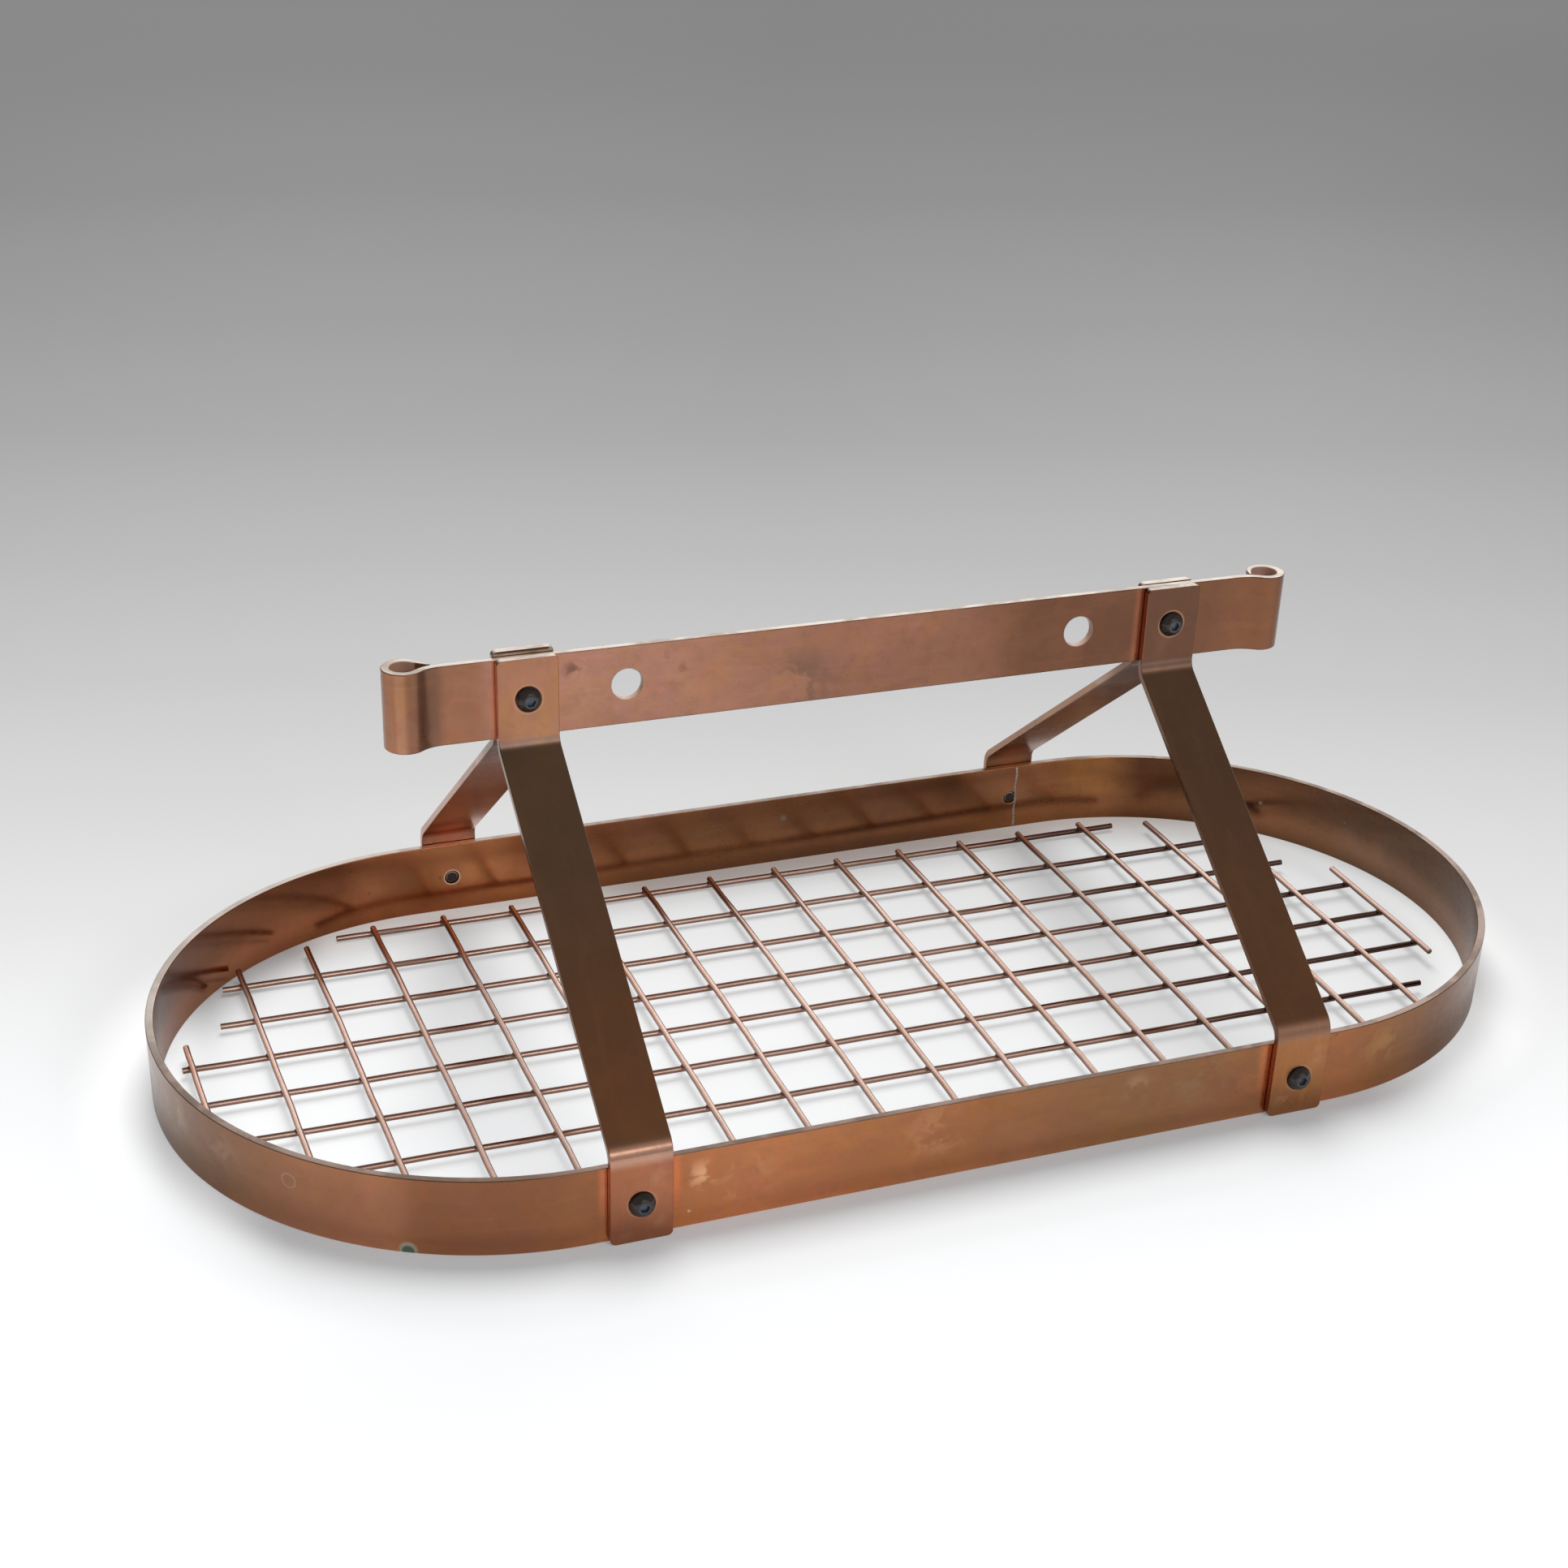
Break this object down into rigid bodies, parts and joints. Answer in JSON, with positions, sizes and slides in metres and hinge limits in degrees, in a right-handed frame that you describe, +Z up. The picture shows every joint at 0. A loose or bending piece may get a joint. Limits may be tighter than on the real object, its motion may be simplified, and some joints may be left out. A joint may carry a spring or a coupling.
{
  "type": "hanging pot rack",
  "caption": "Oval copper ring of flat bar on four bent straps under a top bar with rolled ends, holding a loose welded wire grid; hung by two holes.",
  "frame": {"origin": "middle of the oval ring at the height of its lower edge, where the rack stands", "axes": "+X along the oval and the top bar, +Y to the back, +Z up"},
  "size_m": [0.914, 0.4472, 0.2764],
  "materials": {
    "ring_copper": "aged copper with a brown patina, satin",
    "strap_copper": "dark aged copper, satin",
    "bar_copper": "paler aged copper, satin",
    "wire_copper": "bright copper",
    "black_steel": "black oxide"
  },
  "bodies": {
    "rack": {"oval_ring": "ring_copper", "top_bar": "bar_copper", "strap_front_left": "strap_copper", "strap_front_right": "strap_copper", "strap_back_left": "strap_copper", "strap_back_right": "strap_copper", "ring_screw_front_left": "black_steel", "ring_screw_front_right": "black_steel", "ring_screw_back_left": "black_steel", "ring_screw_back_right": "black_steel", "clamp_bolt_left": "black_steel", "clamp_bolt_right": "black_steel", "clamp_nut_left": "black_steel", "clamp_nut_right": "black_steel"},
    "grid": {"long_wire_1": "wire_copper", "long_wire_2": "wire_copper", "long_wire_3": "wire_copper", "long_wire_4": "wire_copper", "long_wire_5": "wire_copper", "long_wire_6": "wire_copper", "long_wire_7": "wire_copper", "long_wire_8": "wire_copper", "long_wire_9": "wire_copper", "cross_wire_1": "wire_copper", "cross_wire_2": "wire_copper", "cross_wire_3": "wire_copper", "cross_wire_4": "wire_copper", "cross_wire_5": "wire_copper", "cross_wire_6": "wire_copper", "cross_wire_7": "wire_copper", "cross_wire_8": "wire_copper", "cross_wire_9": "wire_copper", "cross_wire_10": "wire_copper", "cross_wire_11": "wire_copper", "cross_wire_12": "wire_copper", "cross_wire_13": "wire_copper", "cross_wire_14": "wire_copper", "cross_wire_15": "wire_copper", "cross_wire_16": "wire_copper", "cross_wire_17": "wire_copper", "cross_wire_18": "wire_copper"}
  },
  "joints": [
    {"name": "grid_lift", "type": "slide", "parent": "rack", "child": "grid", "axis": [0, 0, 1], "range_m": [0, 0.055]}
  ]
}
